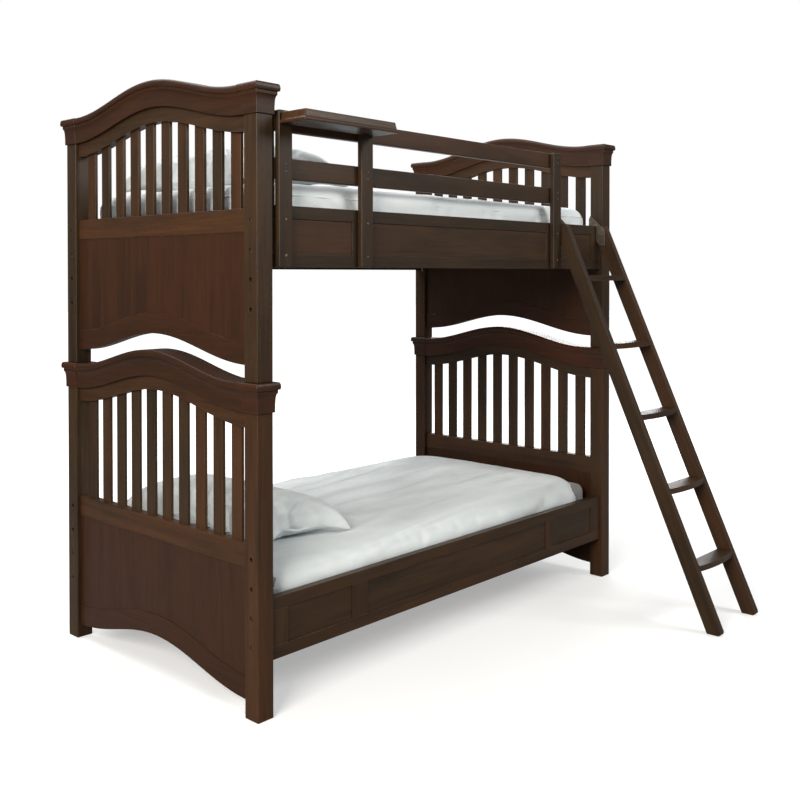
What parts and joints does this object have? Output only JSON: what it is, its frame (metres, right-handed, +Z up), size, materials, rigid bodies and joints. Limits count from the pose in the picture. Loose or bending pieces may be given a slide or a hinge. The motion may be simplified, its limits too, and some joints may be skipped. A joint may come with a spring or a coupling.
{
  "type": "bunk bed with ladder",
  "caption": "Bunk bed with arched, slatted ends, panelled side rails, a front guard rail, a small tray and a leaning ladder that hooks over the side rail.",
  "frame": {"origin": "on the floor, under the middle of the bounding box of the bed and its ladder", "axes": "+X along the bed from the head end to the foot end, where the ladder is; -Y the front, where the ladder leans; +Z up"},
  "size_m": [2.096, 1.8038, 1.9962],
  "materials": {
    "dark_wood": "satin dark cherry stain",
    "plain_hardwood": "bare, sanded",
    "black_steel": "satin black",
    "linen": "smooth white cloth"
  },
  "bodies": {
    "lower_bunk": {"lower_head_front_post": "dark_wood", "lower_head_back_post": "dark_wood", "lower_head_crown": "dark_wood", "lower_head_slat_frame": "dark_wood", "lower_head_panel": "dark_wood", "lower_head_foot_rail": "dark_wood", "lower_foot_front_post": "dark_wood", "lower_foot_back_post": "dark_wood", "lower_foot_crown": "dark_wood", "lower_foot_slat_frame": "dark_wood", "lower_foot_panel": "dark_wood", "lower_foot_foot_rail": "dark_wood", "lower_front_side_rail": "dark_wood", "lower_front_ledger": "plain_hardwood", "lower_back_side_rail": "dark_wood", "lower_back_ledger": "plain_hardwood", "lower_deck": "plain_hardwood", "head_front_stacking_pin": "black_steel", "head_back_stacking_pin": "black_steel", "foot_front_stacking_pin": "black_steel", "foot_back_stacking_pin": "black_steel"},
    "upper_bunk": {"upper_head_front_post": "dark_wood", "upper_head_back_post": "dark_wood", "upper_head_crown": "dark_wood", "upper_head_slat_frame": "dark_wood", "upper_head_panel": "dark_wood", "upper_head_foot_rail": "dark_wood", "upper_foot_front_post": "dark_wood", "upper_foot_back_post": "dark_wood", "upper_foot_crown": "dark_wood", "upper_foot_slat_frame": "dark_wood", "upper_foot_panel": "dark_wood", "upper_foot_foot_rail": "dark_wood", "upper_front_side_rail": "dark_wood", "upper_front_ledger": "plain_hardwood", "upper_back_side_rail": "dark_wood", "upper_back_ledger": "plain_hardwood", "upper_deck": "plain_hardwood", "front_guard_mid_board": "dark_wood", "front_guard_top_board": "dark_wood", "front_guard_end_strip": "dark_wood", "front_guard_head_upright": "dark_wood", "front_guard_middle_upright": "dark_wood", "front_guard_foot_upright": "dark_wood", "tray": "dark_wood"},
    "ladder": {"ladder_left_stringer": "dark_wood", "ladder_right_stringer": "dark_wood", "ladder_tread_1": "dark_wood", "ladder_tread_2": "dark_wood", "ladder_tread_3": "dark_wood", "ladder_tread_4": "dark_wood", "ladder_tread_5": "dark_wood", "ladder_left_hook": "black_steel", "ladder_right_hook": "black_steel"},
    "lower_mattress": {"lower_mattress": "linen"},
    "lower_pillow": {"lower_pillow": "linen"},
    "upper_mattress": {"upper_mattress": "linen"},
    "upper_pillow": {"upper_pillow": "linen"}
  },
  "joints": [
    {"name": "upper_bunk_lift", "type": "slide", "parent": "lower_bunk", "child": "upper_bunk", "axis": [0, 0, 1], "range_m": [0, 0.06]},
    {"name": "ladder_lift", "type": "slide", "parent": "upper_bunk", "child": "ladder", "axis": [0, 0, 1], "range_m": [0, 0.08]},
    {"name": "lower_mattress_lift", "type": "slide", "parent": "lower_bunk", "child": "lower_mattress", "axis": [0, 0, 1], "range_m": [0, 0.12]},
    {"name": "lower_pillow_lift", "type": "slide", "parent": "lower_mattress", "child": "lower_pillow", "axis": [0, 0, 1], "range_m": [0, 0.2]},
    {"name": "upper_mattress_lift", "type": "slide", "parent": "upper_bunk", "child": "upper_mattress", "axis": [0, 0, 1], "range_m": [0, 0.56]},
    {"name": "upper_pillow_lift", "type": "slide", "parent": "upper_mattress", "child": "upper_pillow", "axis": [0, 0, 1], "range_m": [0, 0.2]}
  ]
}
